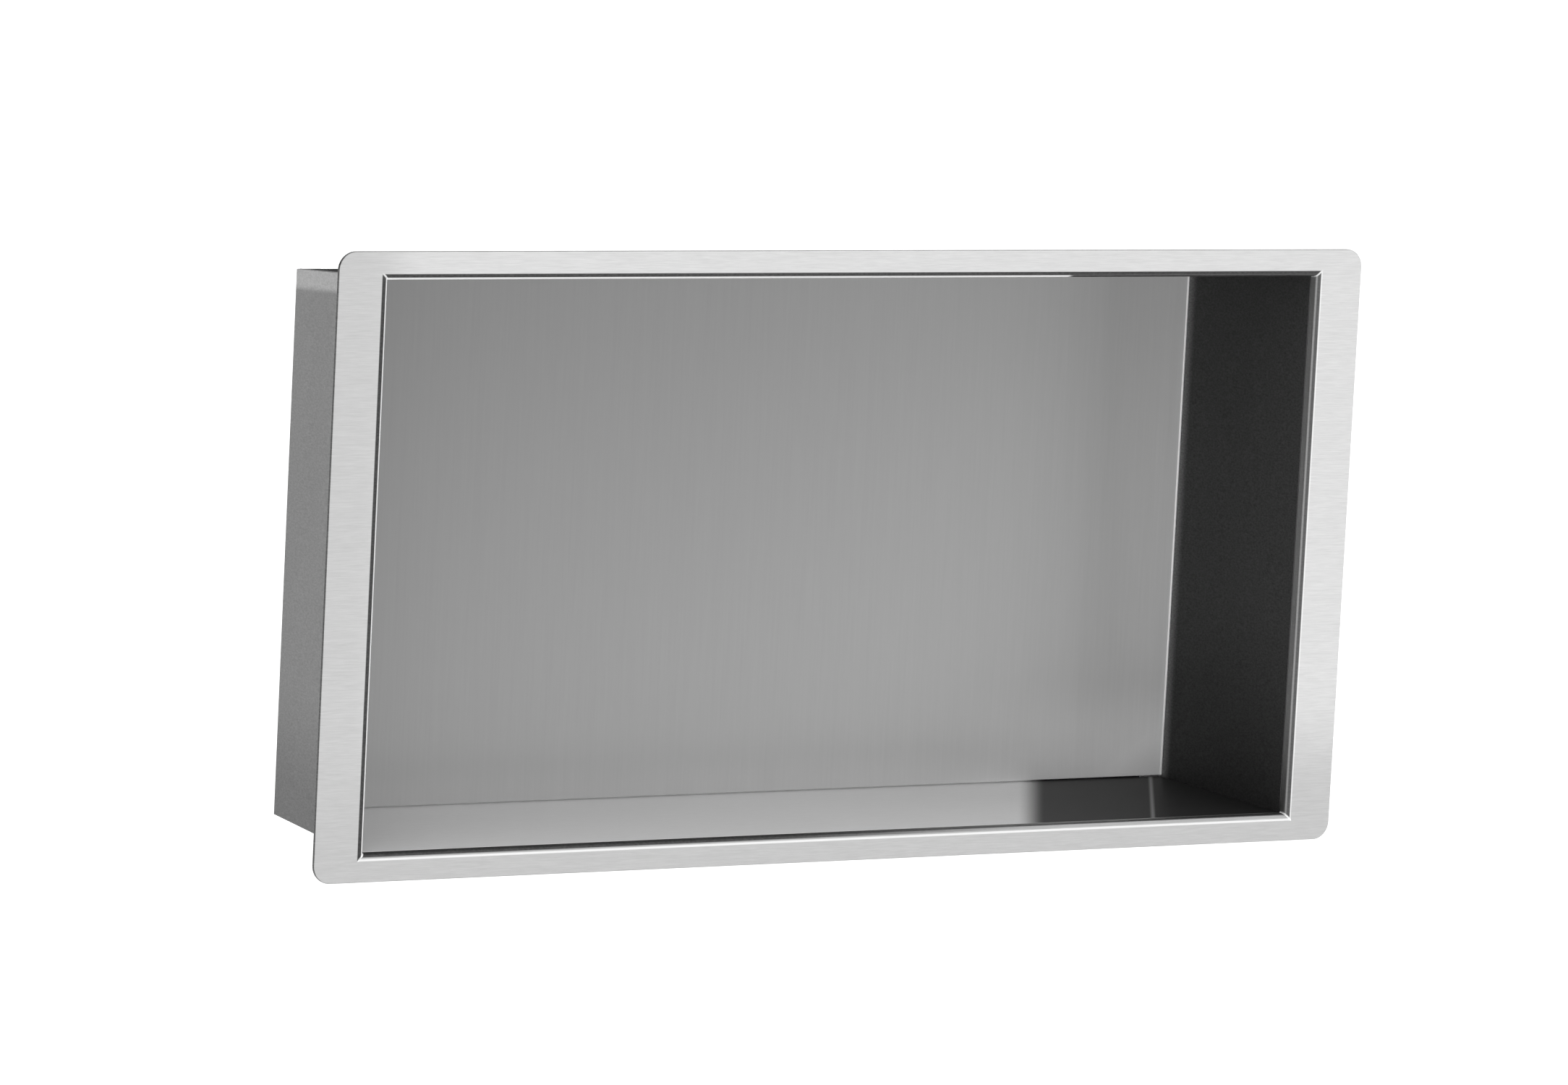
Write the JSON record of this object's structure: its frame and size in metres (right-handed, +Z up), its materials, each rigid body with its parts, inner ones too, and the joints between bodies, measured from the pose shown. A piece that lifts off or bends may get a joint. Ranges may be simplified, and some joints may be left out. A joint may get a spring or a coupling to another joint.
{
  "type": "recessed wall niche",
  "caption": "Open rectangular wall niche in brushed stainless sheet: a shallow box with a wide front flange that covers the edge of a wall cut-out.",
  "frame": {"origin": "centre of the niche's opening, in the plane of the wall's surface, which is the plane of the flange's rear face", "axes": "+X to the right as seen from the room, +Y into the wall, +Z up"},
  "size_m": [0.61, 0.118, 0.32],
  "materials": {
    "linished_face": "bright linished stainless, grain horizontal",
    "brushed_wall": "dull brushed stainless, fine grain front to back",
    "satin_panel": "satin stainless, grain vertical"
  },
  "bodies": {
    "root": {"front_flange": "linished_face", "left_wall": "brushed_wall", "right_wall": "brushed_wall", "top_wall": "brushed_wall", "bottom_wall": "brushed_wall", "back_panel": "satin_panel"}
  },
  "joints": []
}
